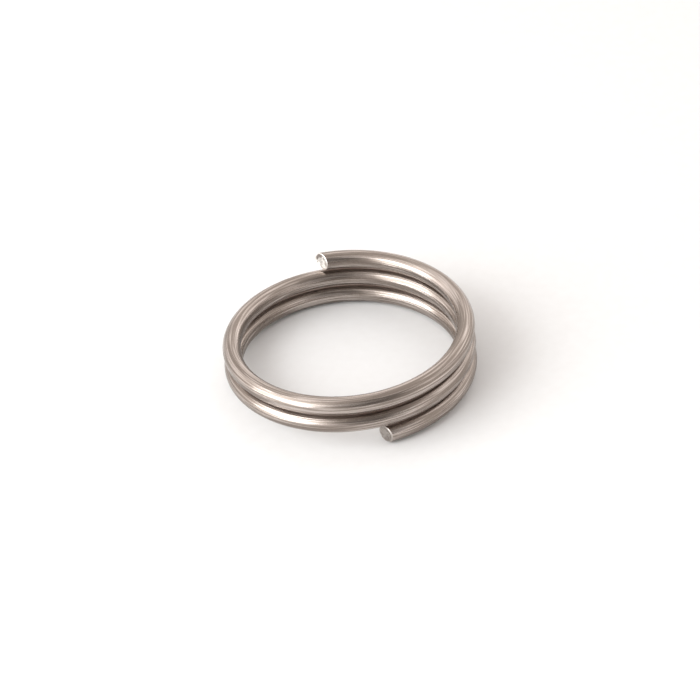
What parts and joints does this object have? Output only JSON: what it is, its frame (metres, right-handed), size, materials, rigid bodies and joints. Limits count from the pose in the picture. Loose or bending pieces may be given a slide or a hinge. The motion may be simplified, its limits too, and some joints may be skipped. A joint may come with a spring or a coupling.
{
  "type": "split key ring",
  "caption": "Split key ring: a close coil of round steel wire whose free ends spring apart to let a key slide on.",
  "frame": {"origin": "on the coil's axis, level with the lowest point of the wire", "axes": "+Z along the coil's axis, up; the wire's bottom end is at the front (-Y), a little towards +X, and its top end at the back (+Y), a little towards -X"},
  "size_m": [0.025, 0.025, 0.007],
  "materials": {
    "drawn_steel_wire": "satin, with fine drawing lines along the wire"
  },
  "bodies": {
    "top_end": {"top_end": "drawn_steel_wire"},
    "top_coil_back_right": {"top_coil_back_right": "drawn_steel_wire"},
    "top_coil_right": {"top_coil_right": "drawn_steel_wire"},
    "top_coil_front_right": {"top_coil_front_right": "drawn_steel_wire"},
    "top_coil_front": {"top_coil_front": "drawn_steel_wire"},
    "top_coil_front_left": {"top_coil_front_left": "drawn_steel_wire"},
    "top_coil_left": {"top_coil_left": "drawn_steel_wire"},
    "middle_coil": {"middle_coil": "drawn_steel_wire"},
    "bottom_coil_front_left": {"bottom_coil_front_left": "drawn_steel_wire"},
    "bottom_coil_left": {"bottom_coil_left": "drawn_steel_wire"},
    "bottom_coil_back_left": {"bottom_coil_back_left": "drawn_steel_wire"},
    "bottom_coil_back": {"bottom_coil_back": "drawn_steel_wire"},
    "bottom_coil_back_right": {"bottom_coil_back_right": "drawn_steel_wire"},
    "bottom_coil_right": {"bottom_coil_right": "drawn_steel_wire"},
    "bottom_end": {"bottom_end": "drawn_steel_wire"}
  },
  "joints": [
    {"name": "bottom_coil_twist_1", "type": "hinge", "parent": "bottom_end", "child": "bottom_coil_right", "pos_m": [0.00988, -0.00607, 0.00116], "axis": [0.5235, 0.8516, 0.0285], "range_deg": [0, 0.364]},
    {"name": "bottom_coil_twist_2", "type": "hinge", "parent": "bottom_coil_right", "child": "bottom_coil_back_right", "pos_m": [0.01129, 0.00266, 0.00142], "axis": [-0.2289, 0.973, 0.0285], "range_deg": [0, 1.24]},
    {"name": "bottom_coil_twist_3", "type": "hinge", "parent": "bottom_coil_back_right", "child": "bottom_coil_back", "pos_m": [0.00614, 0.00984, 0.00168], "axis": [-0.8483, 0.5288, 0.0285], "range_deg": [0, 2.13]},
    {"name": "bottom_coil_opening", "type": "hinge", "parent": "bottom_coil_back", "child": "bottom_coil_back_left", "pos_m": [-0.00259, 0.01131, 0.00194], "axis": [-0.9744, -0.2228, 0.0285], "range_deg": [0, 2.5], "stiffness_Nm_per_rad": 1},
    {"name": "bottom_coil_twist_5", "type": "hinge", "parent": "bottom_coil_back_left", "child": "bottom_coil_left", "pos_m": [-0.0098, 0.0062, 0.00219], "axis": [-0.5341, -0.8449, 0.0285], "range_deg": [0, 2.15]},
    {"name": "bottom_coil_twist_6", "type": "hinge", "parent": "bottom_coil_left", "child": "bottom_coil_front_left", "pos_m": [-0.01132, -0.00251, 0.00245], "axis": [0.2167, -0.9758, 0.0285], "range_deg": [0, 1.27]},
    {"name": "bottom_coil_twist_7", "type": "hinge", "parent": "bottom_coil_front_left", "child": "middle_coil", "pos_m": [-0.00626, -0.00977, 0.00271], "axis": [0.8415, -0.5394, 0.0285], "range_deg": [0, 0.386]},
    {"name": "top_coil_twist_7", "type": "hinge", "parent": "middle_coil", "child": "top_coil_left", "pos_m": [-0.00965, 0.00644, 0.00427], "axis": [-0.5552, -0.8312, 0.0285], "range_deg": [0, 0.386]},
    {"name": "top_coil_twist_6", "type": "hinge", "parent": "top_coil_left", "child": "top_coil_front_left", "pos_m": [-0.01138, -0.00223, 0.00453], "axis": [0.1921, -0.981, 0.0285], "range_deg": [0, 1.27]},
    {"name": "top_coil_twist_5", "type": "hinge", "parent": "top_coil_front_left", "child": "top_coil_front", "pos_m": [-0.0065, -0.00961, 0.00478], "axis": [0.8277, -0.5604, 0.0285], "range_deg": [0, 2.15]},
    {"name": "top_coil_opening", "type": "hinge", "parent": "top_coil_front", "child": "top_coil_front_right", "pos_m": [0.00216, -0.0114, 0.00504], "axis": [0.9821, 0.1859, 0.0285], "range_deg": [0, 2.5], "stiffness_Nm_per_rad": 1},
    {"name": "top_coil_twist_3", "type": "hinge", "parent": "top_coil_front_right", "child": "top_coil_right", "pos_m": [0.00956, -0.00656, 0.0053], "axis": [0.5656, 0.8242, 0.0285], "range_deg": [0, 2.13]},
    {"name": "top_coil_twist_2", "type": "hinge", "parent": "top_coil_right", "child": "top_coil_back_right", "pos_m": [0.01141, 0.00209, 0.00556], "axis": [-0.1798, 0.9833, 0.0285], "range_deg": [0, 1.24]},
    {"name": "top_coil_twist_1", "type": "hinge", "parent": "top_coil_back_right", "child": "top_end", "pos_m": [0.00662, 0.00952, 0.00582], "axis": [-0.8206, 0.5708, 0.0285], "range_deg": [0, 0.364]}
  ],
  "couplings": [
    {"joint": "bottom_coil_twist_1", "follows": "bottom_coil_opening", "ratio": 0.14534},
    {"joint": "bottom_coil_twist_2", "follows": "bottom_coil_opening", "ratio": 0.49688},
    {"joint": "bottom_coil_twist_3", "follows": "bottom_coil_opening", "ratio": 0.85024},
    {"joint": "bottom_coil_twist_5", "follows": "bottom_coil_opening", "ratio": 0.8591},
    {"joint": "bottom_coil_twist_6", "follows": "bottom_coil_opening", "ratio": 0.50944},
    {"joint": "bottom_coil_twist_7", "follows": "bottom_coil_opening", "ratio": 0.15431},
    {"joint": "top_coil_twist_7", "follows": "top_coil_opening", "ratio": 0.15431},
    {"joint": "top_coil_twist_6", "follows": "top_coil_opening", "ratio": 0.50944},
    {"joint": "top_coil_twist_5", "follows": "top_coil_opening", "ratio": 0.8591},
    {"joint": "top_coil_twist_3", "follows": "top_coil_opening", "ratio": 0.85024},
    {"joint": "top_coil_twist_2", "follows": "top_coil_opening", "ratio": 0.49688},
    {"joint": "top_coil_twist_1", "follows": "top_coil_opening", "ratio": 0.14534}
  ]
}
